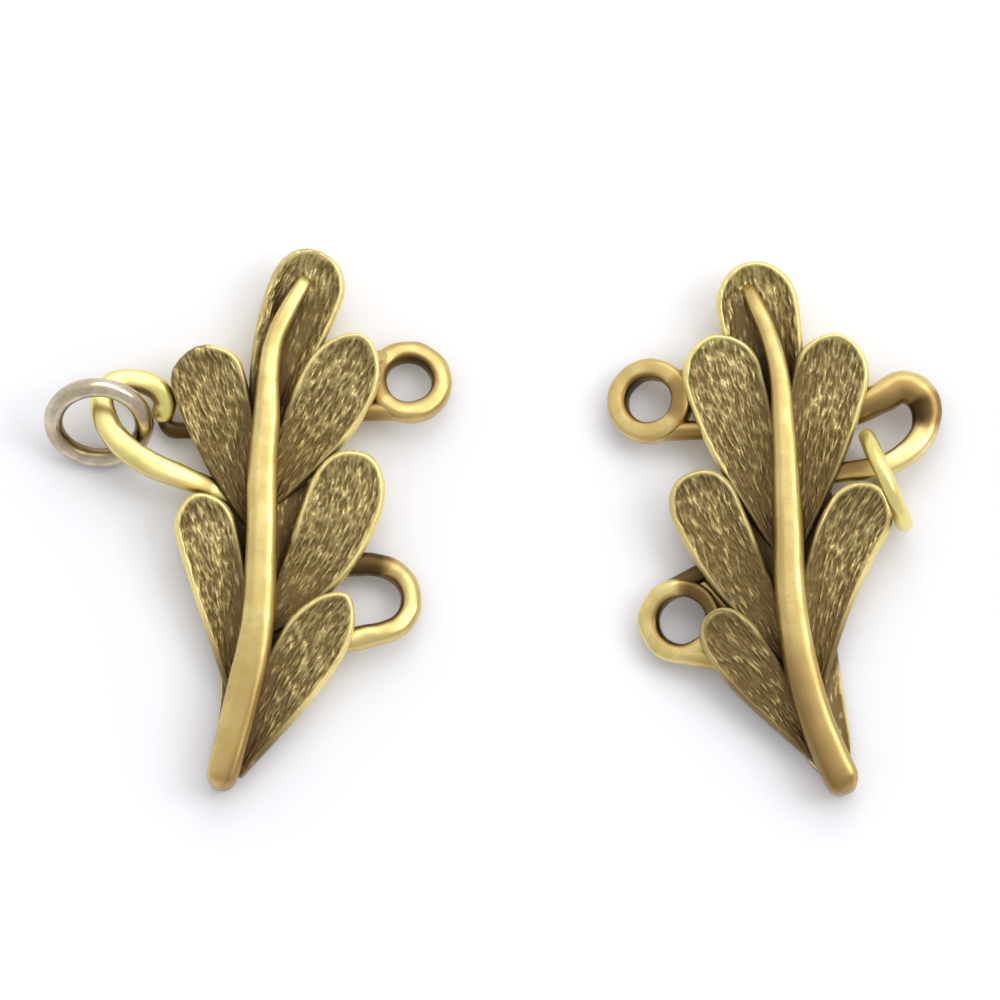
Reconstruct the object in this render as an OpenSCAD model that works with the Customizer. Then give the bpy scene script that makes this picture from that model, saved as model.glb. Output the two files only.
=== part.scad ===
// Two-part necklace clasp: a pair of cast brass leaves, each with two strand eyes,
// a closure loop and a jump ring. It lies on its back, unfastened, in millimetres.

/* [Leaves] */
// Length of the left leaf from its tip to the end of its stem
leaf_l = 22.9; // [22.3:0.05:23.4]
// Place of the left leaf's rib across the clasp
left_x = -9.6; // [-9.8:0.1:-9.4]
// Place of the right leaf's rib across the clasp
right_x = 12.4; // [12.2:0.1:12.6]
// Thickness of a lobe at its tip
lobe_t = 1.1; // [0.9:0.05:1.2]
// Width of the smooth rim round a lobe
rim_w = 0.22; // [0.15:0.01:0.3]
// Height of the web that carries the lobes
web_h = 1.2; // [1:0.05:1.4]

/* [Strand eyes] */
// Radius of the hole that takes a strand's end
eye_r = 0.95; // [0.8:0.01:1]
// Width of an eye's wire, seen from above
eye_wire = 0.86; // [0.7:0.02:1]
// Height of an eye's wire
eye_h = 0.95; // [0.8:0.05:1.1]
// Slope of an eye from level
eye_tilt = 14; // [8:1:16]
// Radius of the straight ends of an eye's wire
leg_r = 0.38; // [0.3:0.02:0.42]

/* [Jump rings] */
// Centre radius of the grey jump ring
grey_r = 1.91; // [1.85:0.01:1.95]
// Thickness of the grey ring's wire
grey_wire = 0.8; // [0.7:0.02:0.84]
// Slope at which the grey ring leans on its loop
grey_tilt = 50; // [48:1:52]
// Centre radius of the gold jump ring
gold_r = 1.98; // [1.9:0.01:2.02]
// Thickness of the gold ring's wire
gold_wire = 0.7; // [0.6:0.02:0.74]
// Lean of the gold ring from upright, towards the leaf
gold_lean = 4; // [2:1:6]

/* [Hidden] */
$fn = 48;

// points along a lobe's edge, and steps of the smooth curve between two rows of a wire or rib
lobe_n = 13;
wire_n = 3;
rib_n = 2;

// lobes of the left leaf, each from the web to its tip:
// root x, root y, bend x, bend y, tip x, tip y, root half width, widest half width,
// place of the widest, roundness of the end, root height, tip height, dish
LEFT_LOBES = [
    [-0.06,   2.59,  0.60,  7.57,  2.54, 11.24, 0.40, 1.60, 0.79, 0.42, 1.35, 2.30, 0.28],
    [-0.06,  -0.61, -1.56,  3.31, -2.74,  7.29, 0.40, 1.56, 0.84, 0.42, 1.30, 2.35, 0.14],
    [-0.06,   0.45,  2.75,  4.55,  4.20,  7.74, 0.30, 1.64, 0.68, 0.60, 1.35, 2.45, 0.14],
    [-0.73,  -8.33, -1.40, -3.45, -2.86,  0.97, 0.44, 1.30, 0.84, 0.58, 1.20, 2.40, 0.14],
    [-0.06,  -4.66,  3.20, -1.57,  3.95,  2.77, 0.43, 1.65, 0.74, 0.42, 1.35, 2.50, 0.14],
    [-1.15, -10.72,  0.94, -6.74,  3.59, -3.34, 0.35, 1.41, 0.70, 0.60, 1.20, 2.50, 0.14]];

// lobes of the right leaf, with the same columns
RIGHT_LOBES = [
    [-0.01,   3.23, -0.98,  7.01, -1.56, 10.88, 0.56, 1.73, 0.76, 0.50, 1.35, 2.30, 0.28],
    [ 0.12,  -1.89, -2.09,  3.47, -3.20,  7.71, 0.30, 1.71, 0.80, 0.57, 1.30, 2.40, 0.14],
    [ 0.03,  -1.89,  1.32,  3.92,  2.20,  7.77, 0.30, 1.63, 0.78, 0.58, 1.30, 2.40, 0.14],
    [ 0.37,  -6.16, -2.43, -2.37, -4.10,  1.86, 0.36, 1.47, 0.83, 0.42, 1.30, 2.45, 0.14],
    [ 1.06,  -8.05,  0.95, -2.46,  3.82,  1.25, 0.42, 1.42, 0.84, 0.58, 1.25, 2.40, 0.14],
    [ 1.72, -10.50, -2.40, -5.30, -3.26, -4.32, 0.30, 1.14, 0.84, 0.42, 1.20, 2.40, 0.14]];

// stations down the left leaf's rib: x, y, half width, crest height, foot height,
// reach of the web on the left, reach of the web on the right
LEFT_RIB = [
    [ 1.84, 10.20, 0.22, 2.26, 1.60, 0.3, 0.3],
    [ 1.68,  9.92, 0.26, 2.46, 1.50, 0.3, 0.3],
    [ 0.99,  8.68, 0.31, 2.58, 1.20, 0.4, 0.4],
    [ 0.46,  7.44, 0.36, 2.65, 1.00, 0.5, 0.5],
    [ 0.23,  5.87, 0.46, 2.78, 0.80, 0.7, 0.7],
    [ 0.16,  4.31, 0.56, 2.86, 0.60, 0.9, 1.0],
    [ 0.04,  2.77, 0.61, 2.90, 0.60, 1.3, 1.5],
    [-0.03,  1.21, 0.64, 2.92, 0.60, 2.1, 2.1],
    [-0.03, -0.34, 0.65, 2.92, 0.60, 1.9, 2.3],
    [-0.07, -1.89, 0.66, 2.90, 0.60, 1.8, 2.4],
    [-0.14, -3.43, 0.70, 2.86, 0.60, 1.6, 2.4],
    [-0.23, -4.97, 0.76, 2.78, 0.60, 1.4, 2.2],
    [-0.61, -6.49, 0.79, 2.66, 0.50, 1.2, 1.9],
    [-0.98, -8.02, 0.76, 2.52, 0.40, 0.9, 1.5],
    [-1.37, -9.54, 0.72, 2.38, 0.30, 0.7, 1.0],
    [-1.66, -10.80, 0.66, 2.26, 0.20, 0.6, 0.6],
    [-1.77, -11.26, 0.56, 2.14, 0.25, 0.5, 0.5],
    [-1.80, -11.40, 0.36, 1.90, 0.50, 0.3, 0.3]];

// stations down the right leaf's rib, with the same columns
RIGHT_RIB = [
    [-1.74,  9.90, 0.18, 2.26, 1.60, 0.3, 0.3],
    [-1.60,  9.62, 0.22, 2.46, 1.50, 0.3, 0.3],
    [-1.27,  8.86, 0.26, 2.56, 1.30, 0.3, 0.3],
    [-0.88,  7.95, 0.30, 2.60, 1.10, 0.4, 0.4],
    [-0.50,  6.71, 0.37, 2.70, 0.90, 0.5, 0.5],
    [-0.28,  5.45, 0.42, 2.78, 0.70, 0.7, 0.7],
    [-0.19,  3.89, 0.49, 2.86, 0.60, 1.0, 1.0],
    [-0.08,  2.34, 0.54, 2.90, 0.60, 1.5, 1.5],
    [-0.04,  0.78, 0.58, 2.92, 0.60, 2.0, 2.0],
    [ 0.03, -0.76, 0.61, 2.92, 0.60, 2.2, 2.0],
    [ 0.08, -2.30, 0.64, 2.90, 0.60, 2.4, 1.9],
    [ 0.23, -3.85, 0.67, 2.86, 0.60, 2.4, 1.8],
    [ 0.49, -5.39, 0.69, 2.78, 0.60, 2.2, 1.6],
    [ 0.80, -6.91, 0.70, 2.66, 0.50, 1.8, 1.5],
    [ 1.18, -8.45, 0.71, 2.52, 0.40, 1.3, 1.3],
    [ 1.71, -9.97, 0.74, 2.38, 0.30, 0.8, 1.0],
    [ 2.20, -11.00, 0.72, 2.26, 0.20, 0.6, 0.7],
    [ 2.42, -11.40, 0.58, 2.12, 0.25, 0.5, 0.5],
    [ 2.50, -11.54, 0.38, 1.90, 0.50, 0.3, 0.3]];

// centre line of the left leaf's closure loop: x, y, z, width, height
LEFT_LOOP = [
    [-1.30, 1.05, 0.80, 0.90, 0.76],
    [-2.20, 1.38, 1.00, 0.90, 0.76],
    [-3.08, 1.65, 1.48, 0.95, 0.80],
    [-4.34, 2.11, 1.90, 1.00, 0.80],
    [-5.18, 2.56, 2.02, 1.02, 0.80],
    [-5.86, 3.09, 2.04, 1.02, 0.80],
    [-6.36, 3.73, 1.98, 1.00, 0.80],
    [-6.65, 4.38, 1.88, 0.98, 0.80],
    [-6.76, 4.95, 1.76, 0.95, 0.80],
    [-6.66, 5.43, 1.65, 0.92, 0.80],
    [-6.30, 5.79, 1.54, 0.90, 0.80],
    [-5.69, 5.93, 1.42, 0.90, 0.82],
    [-5.00, 5.88, 1.30, 0.88, 0.84],
    [-4.38, 5.60, 1.14, 0.86, 0.86],
    [-4.06, 5.12, 0.98, 0.84, 0.86],
    [-4.12, 4.60, 0.80, 0.80, 0.86],
    [-3.98, 4.12, 0.64, 0.74, 0.80],
    [-3.50, 3.92, 0.60, 0.70, 0.74],
    [-2.60, 4.00, 0.62, 0.70, 0.70]];

// centre line of the right leaf's closure loop, with the same columns
RIGHT_LOOP = [
    [ 2.30, 4.44, 1.30, 1.10, 1.00],
    [ 3.10, 4.79, 1.34, 1.12, 1.00],
    [ 3.90, 5.30, 1.38, 1.14, 1.00],
    [ 4.82, 5.72, 1.36, 1.16, 1.00],
    [ 5.53, 5.43, 1.32, 1.16, 1.00],
    [ 5.85, 4.68, 1.32, 1.14, 1.00],
    [ 5.68, 3.68, 1.38, 1.10, 1.00],
    [ 5.07, 2.89, 1.52, 1.02, 0.92],
    [ 4.23, 2.33, 1.64, 0.92, 0.84],
    [ 3.31, 2.09, 1.64, 0.86, 0.80],
    [ 2.60, 2.04, 1.34, 0.86, 0.80],
    [ 1.80, 1.98, 1.00, 0.86, 0.76],
    [ 0.90, 1.90, 0.90, 0.86, 0.76]];

// strand eyes: x, y, z, direction in which the eye slopes down, middle and length of its arc
LEFT_EYES = [
    [ 6.11,  5.88, 1.10,  75,   0, 360],
    [ 4.81, -3.38, 1.10,  50,  -5, 276]];
RIGHT_EYES = [
    [-5.76,  5.07, 1.10, 160, 180, 360],
    [-4.46, -4.27, 1.10, 205, 180, 360]];

// ends of the eyes' wires, from the eye into a lobe: x, y, z, x, y, z
LEFT_LEGS = [
    [ 5.05,  6.77, 0.98,  4.30,  6.75, 1.45],
    [ 5.08,  4.96, 1.36,  4.05,  4.90, 1.42],
    [ 3.95, -2.31, 1.04,  3.40, -1.60, 1.20],
    [ 4.34, -4.68, 1.40,  3.20, -5.50, 1.48]];
RIGHT_LEGS = [
    [-4.70,  5.96, 1.26, -3.90,  6.00, 1.50],
    [-4.78,  4.09, 1.40, -3.20,  4.00, 1.38],
    [-4.58, -2.90, 1.20, -3.40, -1.80, 1.28],
    [-3.99, -5.57, 1.08, -2.80, -5.90, 1.38]];

// lengths of the leaves as their tables give them, and the scale that leaf_l asks for
LEFT_L = 22.908;
RIGHT_L = 22.618;
leaf_k = leaf_l / LEFT_L;

// shift that brings the middle of the whole clasp over the origin
mid = [-0.012, 0.146, 0];

// half width of a lobe at share u of its length
function lobe_w(r, u) = u > r[8]
    ? r[7] * pow(max(0, 1 - pow((u - r[8]) / (1 - r[8]), 2)), r[9])
    : r[6] + (r[7] - r[6]) * sin(90 * u / r[8]);

// point of a lobe's centre line, and the direction to its left
function lobe_c(r, u) = [
    (1 - u) * (1 - u) * r[0] + 2 * u * (1 - u) * r[2] + u * u * r[4],
    (1 - u) * (1 - u) * r[1] + 2 * u * (1 - u) * r[3] + u * u * r[5]];
function lobe_left(r, u) =
    let (d = (1 - u) * [r[2] - r[0], r[3] - r[1]] + u * [r[4] - r[2], r[5] - r[3]])
    [-d[1], d[0]] / norm(d);

// height of a lobe's rim, and of its underside
function rim_z(r, u) = r[10] + (r[11] - r[10]) * u;
function under_z(r, u) = 0.2 + (r[11] - lobe_t - 0.2) * u;

// levels from the underside to the dish: inset, share of the thickness, share of the dish
LEVELS = [
    [0.34, 0, 0],
    [0.06, 0.30, 0],
    [0, 0.66, 0],
    [0.05, 0.92, 0],
    [0.5, 1, 0],
    [1, 1, 0.55],
    [1.8, 1, 1]];

// shares of a lobe's length at which its edge has points, closer together at the tip
function edge_u(i) = sin(90 * i / lobe_n);

// one point of a lobe: level l, step i, side 1 for left and -1 for right, 0 for the middle
function lobe_pt(r, l, i, side) =
    let (
        lv = LEVELS[l],
        inset = l < 4 ? lv[0] : lv[0] * rim_w,
        len = norm([r[4] - r[0], r[5] - r[1]]),
        u = edge_u(i) * (1 - inset / len),
        w = lobe_w(r, edge_u(i)) * (1 - inset / r[7]),
        c = lobe_c(r, u) + side * w * lobe_left(r, u),
        z = under_z(r, u) + (rim_z(r, u) - under_z(r, u)) * lv[1] - r[12] * lv[2])
    [c[0], c[1], z];

// closed edge of a lobe at one level: up the left side, round the tip, down the right side
function lobe_ring(r, l) = [
    for (i = [0:lobe_n]) lobe_pt(r, l, i, 1),
    for (i = [lobe_n - 1:-1:0]) lobe_pt(r, l, i, -1)];

module lobe(r) {
    m = 2 * lobe_n + 1;
    top = len(LEVELS) - 1;
    mid = m * (top + 1);
    points = [
        for (l = [0:top]) each lobe_ring(r, l),
        for (i = [0:lobe_n - 1])
            let (c = lobe_pt(r, top, i, 0)) [c[0], c[1], c[2] - r[12] * 0.25 * (1 - edge_u(i)) - 0.02]];
    sides = [for (l = [0:top - 1], j = [0:m - 1])
        let (a = l * m + j, b = l * m + (j + 1) % m)
        each [[a, b, b + m], [a, b + m, a + m]]];
    under = [for (i = [0:lobe_n - 1])
        let (a = i, b = i + 1, c = m - 1 - i, d = m - 2 - i)
        each i == lobe_n - 1 ? [[c, b, a]] : [[c, d, b], [c, b, a]]];
    dish = [for (i = [0:lobe_n - 1])
        let (
            a = top * m + i, b = a + 1,
            c = top * m + m - 1 - i, d = c - 1,
            e = mid + i, f = i == lobe_n - 1 ? b : e + 1)
        each i == lobe_n - 1
            ? [[a, b, e], [e, b, c]]
            : [[a, b, f], [a, f, e], [e, f, d], [e, d, c]]];
    root = [[top * m, mid, top * m + m - 1]];
    polyhedron(points, concat(sides, under, dish, root), convexity = 6);
}

// closed skin over a row of sections with m points each
module skin(rings) {
    m = len(rings[0]);
    n = len(rings);
    faces = [for (k = [0:n - 2], j = [0:m - 1])
        let (a = k * m + j, b = k * m + (j + 1) % m)
        each [[a, b, b + m], [a, b + m, a + m]]];
    ends = [
        [for (j = [m - 1:-1:0]) j],
        [for (j = [0:m - 1]) (n - 1) * m + j]];
    polyhedron([for (r = rings) each r], concat(faces, ends), convexity = 8);
}

// smooth curve through the rows of a table: the row at share f between rows k and k + 1,
// and all rows with n steps between each two
function curve_row(t, k, f) =
    let (a = t[max(0, k - 1)], b = t[k], c = t[min(len(t) - 1, k + 1)], d = t[min(len(t) - 1, k + 2)])
    0.5 * (2 * b + (c - a) * f + (2 * a - 5 * b + 4 * c - d) * f * f
        + (3 * b - a - 3 * c + d) * f * f * f);
function curve(t, n) = [
    for (k = [0:len(t) - 2], j = [0:n - 1]) curve_row(t, k, j / n),
    t[len(t) - 1]];

// direction of a row of stations at station k, and the level direction to its right
function row_dir(t, k) =
    let (a = t[max(0, k - 1)], b = t[min(len(t) - 1, k + 1)], d = [b[0] - a[0], b[1] - a[1], 0])
    d / norm(d);
function row_right(t, k) = let (d = row_dir(t, k)) [d[1], -d[0], 0];

// domed section of the rib: share of the half width, drop from the crest in half widths
RIB_DOME = [[1, 1], [0.88, 0.5], [0.56, 0.16], [0, 0], [-0.56, 0.16], [-0.88, 0.5], [-1, 1]];

module rib(stations) {
    t = curve(stations, rib_n);
    skin([for (k = [0:len(t) - 1])
        let (r = t[k], s = row_right(t, k))
        [
            for (p = RIB_DOME) [r[0], r[1], r[3] - p[1] * r[2]] + s * p[0] * r[2],
            [r[0], r[1], r[4]] - s * r[2] * 0.8,
            [r[0], r[1], r[4]] + s * r[2] * 0.8]]);
}

// flat-backed web under the rib, which carries the roots of the lobes
module web(t) {
    skin([for (k = [4:len(t) - 4])
        let (r = t[k], s = row_right(t, k))
        [
            [r[0], r[1], 0] + s * r[5] * 0.92,
            [r[0], r[1], web_h * 0.6] + s * r[5],
            [r[0], r[1], web_h] + s * r[5] * 0.94,
            [r[0], r[1], web_h] - s * r[6] * 0.94,
            [r[0], r[1], web_h * 0.6] - s * r[6],
            [r[0], r[1], 0] - s * r[6] * 0.92]]);
}

// rounded section of a flattened wire, counted from its right side over the top
WIRE_SIDES = 12;
function wire_pt(i) =
    let (a = 360 * (i + 0.5) / WIRE_SIDES, e = 0.75)
    [sign(cos(a)) * pow(abs(cos(a)), e), sign(sin(a)) * pow(abs(sin(a)), e)];

module wire(t) {
    rows = curve(t, wire_n);
    skin([for (k = [0:len(rows) - 1])
        let (
            r = rows[k],
            a = rows[max(0, k - 1)], b = rows[min(len(rows) - 1, k + 1)],
            d = [b[0] - a[0], b[1] - a[1], b[2] - a[2]] / norm([b[0] - a[0], b[1] - a[1], b[2] - a[2]]),
            s = [d[1], -d[0], 0] / norm([d[1], -d[0], 0]),
            h = cross(s, d))
        [for (i = [0:WIRE_SIDES - 1])
            let (p = wire_pt(i))
            [r[0], r[1], r[2]] + s * p[0] * r[3] / 2 + h * p[1] * r[4] / 2]]);
}

// section of an eye's wire, with an upright land at the hole and eased corners
module eye_section() {
    c = 0.22;
    a = eye_r;
    b = eye_r + eye_wire;
    h = eye_h / 2;
    polygon([
        [a, h - c], [a + c * 0.3, h - c * 0.3], [a + c, h],
        [b - c, h], [b - c * 0.3, h - c * 0.3], [b, h - c],
        [b, c - h], [b - c * 0.3, c * 0.3 - h], [b - c, -h],
        [a + c, -h], [a + c * 0.3, c * 0.3 - h], [a, c - h]]);
}

// strand eye: a sloping ring, or the greater part of one
module eye(r) {
    translate([r[0] * leaf_k, r[1] * leaf_k, r[2]])
        rotate([0, eye_tilt, r[3]])
            rotate([0, 0, r[4] - r[3] - r[5] / 2])
                rotate_extrude(angle = r[5])
                    eye_section();
}

// short straight end of an eye's wire
module leg(r) {
    a = [r[0] * leaf_k, r[1] * leaf_k, r[2]];
    b = [r[3] * leaf_k, r[4] * leaf_k, r[5]];
    d = b - a;
    translate(a)
        rotate([0, acos(d[2] / norm(d)), atan2(d[1], d[0])])
            cylinder(h = norm(d), r = leg_r);
}

// one leaf: lobes, rib, web and closure loop at the leaf's length, with its two eyes
module leaf(l, lobes, stations, loop, eyes, legs) {
    resize([0, l * leaf_k, 0], auto = true) {
        for (r = lobes)
            lobe(r);
        rib(stations);
        web(stations);
        wire(loop);
    }
    for (r = eyes)
        eye(r);
    for (r = legs)
        leg(r);
}

module left_leaf() {
    color("#a8843c")
        translate(mid + [left_x, 0, 0])
            leaf(LEFT_L, LEFT_LOBES, LEFT_RIB, LEFT_LOOP, LEFT_EYES, LEFT_LEGS);
}

module right_leaf() {
    color("#a07c38")
        translate(mid + [right_x, 0, 0])
            leaf(RIGHT_L, RIGHT_LOBES, RIGHT_RIB, RIGHT_LOOP, RIGHT_EYES, RIGHT_LEGS);
}

// jump ring round the left loop: one edge on the floor, the other on the loop
module grey_jump_ring() {
    low = grey_wire / 2 + 0.02 + grey_r * sin(grey_tilt);
    color("#a39a8c")
        translate(mid + [left_x - 6.88, 4.03, low])
            rotate([0, 0, -3])
                rotate([grey_tilt, 0, 0])
                    rotate_extrude()
                        translate([grey_r, 0])
                            circle(d = grey_wire);
}

// jump ring round the right loop: it stands on edge against the leaf
module gold_jump_ring() {
    color("#d2ac58")
        translate(mid + [right_x + 4.08, 1.49, gold_r + gold_wire / 2 + 0.02])
            rotate([0, 0, -67])
                rotate([90 + gold_lean, 0, 0])
                    rotate_extrude()
                        translate([gold_r, 0])
                            circle(d = gold_wire);
}

left_leaf();
right_leaf();
grey_jump_ring();
gold_jump_ring();
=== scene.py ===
"""Two-part leaf necklace clasp in antique gold: engraved cast leaves, strand eyes, closure loops, jump rings.

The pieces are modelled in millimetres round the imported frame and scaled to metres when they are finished."""

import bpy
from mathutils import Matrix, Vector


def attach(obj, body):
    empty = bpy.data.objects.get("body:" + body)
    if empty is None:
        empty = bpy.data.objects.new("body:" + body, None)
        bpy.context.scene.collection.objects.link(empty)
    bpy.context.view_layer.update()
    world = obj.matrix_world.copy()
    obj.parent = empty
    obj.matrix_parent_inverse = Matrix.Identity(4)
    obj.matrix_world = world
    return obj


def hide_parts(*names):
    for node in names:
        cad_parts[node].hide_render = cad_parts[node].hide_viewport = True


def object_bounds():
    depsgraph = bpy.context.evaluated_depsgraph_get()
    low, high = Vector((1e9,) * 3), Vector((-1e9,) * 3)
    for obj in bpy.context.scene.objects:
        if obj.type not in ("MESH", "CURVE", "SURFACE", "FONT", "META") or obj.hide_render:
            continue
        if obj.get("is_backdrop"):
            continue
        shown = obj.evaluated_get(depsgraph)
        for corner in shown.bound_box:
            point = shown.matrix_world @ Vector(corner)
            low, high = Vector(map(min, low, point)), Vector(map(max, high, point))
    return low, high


bl_info = {
    "name": "Leaf Necklace Clasp",
    "version": (1, 0, 0),
    "blender": (4, 5, 0),
    "location": "View3D > Sidebar > Clasp",
    "description": "Models an antique gold necklace clasp: two engraved cast leaves and their jump rings",
    "category": "Add Mesh",
}

from collections import namedtuple
from math import atan2, copysign, cos, pi, radians, sin, sqrt, tau

import bmesh
import bpy
from bpy.props import FloatProperty, FloatVectorProperty, PointerProperty
from mathutils import Matrix, Vector, noise
from mathutils.kdtree import KDTree

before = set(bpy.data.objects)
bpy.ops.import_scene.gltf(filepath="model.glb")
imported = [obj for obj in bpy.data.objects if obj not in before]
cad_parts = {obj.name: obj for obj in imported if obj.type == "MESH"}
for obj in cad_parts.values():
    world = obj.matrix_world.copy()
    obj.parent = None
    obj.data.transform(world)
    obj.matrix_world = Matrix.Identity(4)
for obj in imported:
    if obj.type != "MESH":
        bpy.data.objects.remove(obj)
CAD_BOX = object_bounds()
MM = 0.001
UP = Vector((0, 0, 1))

# Tables of the two leaves, in millimetres from the middle of each leaf's rib. A lobe has its root, bend and
# tip, half widths at the root and at the widest place, the share of its length where it is widest, the power
# that rounds its end (0.5 for an ellipse), the heights of its rim at the root and tip, the depth of its dish,
# how much darker it is than the others, and whether its left edge is bare of a rim.
Lobe = namedtuple("Lobe", "root bend tip root_half wide_half wide_at end root_z tip_z dish dark bare",
                  defaults=(0, False))
Rib = namedtuple("Rib", "x y half crest foot left right")
RibOxide = namedtuple("RibOxide", "left right dull duller_right")
Wire = namedtuple("Wire", "x y z wide high")
Eye = namedtuple("Eye", "x y z slope_to roundness dull legs dark_mid dark_span", defaults=(0, 0))
Leg = namedtuple("Leg", "start end dark")
Leaf = namedtuple("Leaf", "node place leafward lobes rib rib_oxide loop eyes")
JumpRing = namedtuple("JumpRing", "name node metal slot radius wire joint place lean turn inner_tan")

LEFT_LOBES = [
    Lobe((-0.06, 2.59), (0.6, 7.57), (2.54, 11.24), 0.4, 1.6, 0.79, 0.42, 1.35, 2.3, 0.28, 0, True),
    Lobe((-0.06, -0.61), (-1.56, 3.31), (-2.74, 7.29), 0.4, 1.56, 0.84, 0.62, 1.3, 2.35, 0.14, 0.2, True),
    Lobe((-0.06, 0.45), (2.75, 4.55), (4.2, 7.74), 0.3, 1.64, 0.68, 0.6, 1.35, 2.45, 0.14),
    Lobe((-0.73, -8.33), (-1.4, -3.45), (-2.86, 0.97), 0.44, 1.3, 0.84, 0.58, 1.2, 2.4, 0.14),
    Lobe((-0.06, -4.66), (3.2, -1.57), (3.95, 2.77), 0.43, 1.65, 0.74, 0.42, 1.35, 2.5, 0.14),
    Lobe((-1.15, -10.72), (0.94, -6.74), (3.59, -3.34), 0.35, 1.41, 0.7, 0.6, 1.2, 2.5, 0.14),
]
RIGHT_LOBES = [
    Lobe((-0.01, 3.23), (-0.98, 7.01), (-1.56, 10.88), 0.56, 1.73, 0.76, 0.5, 1.35, 2.3, 0.28),
    Lobe((0.12, -1.89), (-2.09, 3.47), (-3.2, 7.71), 0.3, 1.71, 0.8, 0.57, 1.3, 2.4, 0.14),
    Lobe((0.03, -1.89), (1.32, 3.92), (2.2, 7.77), 0.3, 1.63, 0.78, 0.58, 1.3, 2.4, 0.14, 0.25),
    Lobe((0.37, -6.16), (-2.43, -2.37), (-4.1, 1.86), 0.36, 1.47, 0.83, 0.42, 1.3, 2.45, 0.14, 0.5),
    Lobe((1.06, -8.05), (0.95, -2.46), (3.82, 1.25), 0.42, 1.42, 0.84, 0.58, 1.25, 2.4, 0.14, 0.2),
    Lobe((1.72, -10.5), (-2.3, -5.4), (-3.3, -4.1), 0.3, 1.24, 0.62, 0.5, 1.2, 2.4, 0.14, 0.7),
]
# stations down each rib: place, half width, heights of the crest and foot, reach of the web left and right
LEFT_RIB = [Rib(*row) for row in (
    (1.84, 10.2, 0.2, 2.0, 1.5, 0.3, 0.3), (1.68, 9.92, 0.3, 2.36, 1.5, 0.3, 0.3),
    (0.99, 8.68, 0.37, 2.58, 1.2, 0.4, 0.4), (0.46, 7.44, 0.38, 2.65, 1.0, 0.5, 0.5),
    (0.23, 5.87, 0.46, 2.78, 0.8, 0.7, 0.7), (0.16, 4.31, 0.56, 2.86, 0.6, 0.9, 1.0),
    (0.04, 2.77, 0.61, 2.9, 0.6, 1.3, 1.5), (-0.03, 1.21, 0.64, 2.92, 0.6, 2.1, 2.1),
    (-0.03, -0.34, 0.65, 2.92, 0.6, 1.9, 2.3), (-0.07, -1.89, 0.66, 2.9, 0.6, 1.8, 2.4),
    (-0.12, -3.43, 0.68, 2.86, 0.6, 1.6, 2.4), (-0.27, -4.97, 0.71, 2.78, 0.6, 1.4, 2.2),
    (-0.55, -6.49, 0.75, 2.66, 0.5, 1.2, 1.9), (-0.91, -8.02, 0.74, 2.52, 0.4, 0.9, 1.5),
    (-1.3, -9.54, 0.71, 2.38, 0.3, 0.7, 1.0), (-1.66, -10.8, 0.66, 2.26, 0.2, 0.3, 0.3),
    (-1.75, -11.16, 0.56, 2.12, 0.3, 0.3, 0.3), (-1.79, -11.33, 0.38, 1.86, 0.52, 0.3, 0.3),
    (-1.81, -11.41, 0.18, 1.5, 0.8, 0.3, 0.3),
)]
RIGHT_RIB = [Rib(*row) for row in (
    (-1.8, 10.04, 0.15, 1.66, 1.4, 0.3, 0.3), (-1.6, 9.62, 0.28, 2.16, 1.4, 0.3, 0.3),
    (-1.27, 8.86, 0.34, 2.5, 1.3, 0.3, 0.3), (-0.88, 7.95, 0.36, 2.6, 1.1, 0.4, 0.4),
    (-0.5, 6.71, 0.39, 2.7, 0.9, 0.5, 0.5), (-0.28, 5.45, 0.43, 2.78, 0.7, 0.7, 0.7),
    (-0.19, 3.89, 0.49, 2.86, 0.6, 1.0, 1.0), (-0.08, 2.34, 0.54, 2.9, 0.6, 1.5, 1.5),
    (-0.04, 0.78, 0.58, 2.92, 0.6, 2.0, 2.0), (0.03, -0.76, 0.61, 2.92, 0.6, 2.2, 2.0),
    (0.04, -2.3, 0.65, 2.9, 0.6, 2.4, 1.9), (0.16, -3.85, 0.68, 2.86, 0.6, 2.3, 1.9),
    (0.36, -5.39, 0.7, 2.78, 0.6, 2.1, 1.7), (0.66, -6.91, 0.72, 2.66, 0.5, 1.7, 1.6),
    (1.11, -8.45, 0.73, 2.52, 0.4, 1.2, 1.4), (1.71, -9.97, 0.74, 2.38, 0.3, 0.8, 1.0),
    (2.2, -11.0, 0.72, 2.26, 0.2, 0.3, 0.4), (2.38, -11.33, 0.6, 2.1, 0.3, 0.3, 0.3),
    (2.47, -11.49, 0.4, 1.84, 0.52, 0.3, 0.3), (2.5, -11.56, 0.2, 1.5, 0.8, 0.3, 0.3),
)]
# centre lines of the closure loops, and of the peg that joins the left one's end to its leaf: place, and the
# wire's width and height
LEFT_LOOP = [Wire(*row) for row in (
    (-1.3, 1.05, 0.8, 0.9, 0.76), (-2.2, 1.38, 1.0, 0.9, 0.76),
    (-3.08, 1.65, 1.48, 0.95, 0.8), (-4.36, 2.09, 1.9, 1.06, 0.8),
    (-5.21, 2.53, 2.02, 1.08, 0.8), (-5.89, 3.07, 2.04, 1.08, 0.8),
    (-6.39, 3.71, 1.98, 1.06, 0.8), (-6.67, 4.37, 1.88, 1.02, 0.8),
    (-6.76, 4.95, 1.76, 0.95, 0.8), (-6.66, 5.43, 1.65, 0.92, 0.8),
    (-6.3, 5.79, 1.54, 0.9, 0.8), (-5.69, 5.92, 1.42, 0.94, 0.82),
    (-5.0, 5.86, 1.3, 0.97, 0.85), (-4.44, 5.57, 1.14, 0.98, 0.87),
    (-4.13, 5.11, 0.98, 0.98, 0.88), (-4.2, 4.7, 0.86, 0.96, 0.88),
)]
LEFT_PEG = [Wire(*row) for row in (
    (-4.2, 4.62, 0.66, 0.56, 0.6), (-4.06, 4.14, 0.56, 0.62, 0.7),
    (-3.5, 3.92, 0.58, 0.7, 0.74), (-2.6, 4.0, 0.62, 0.74, 0.72),
)]
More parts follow.
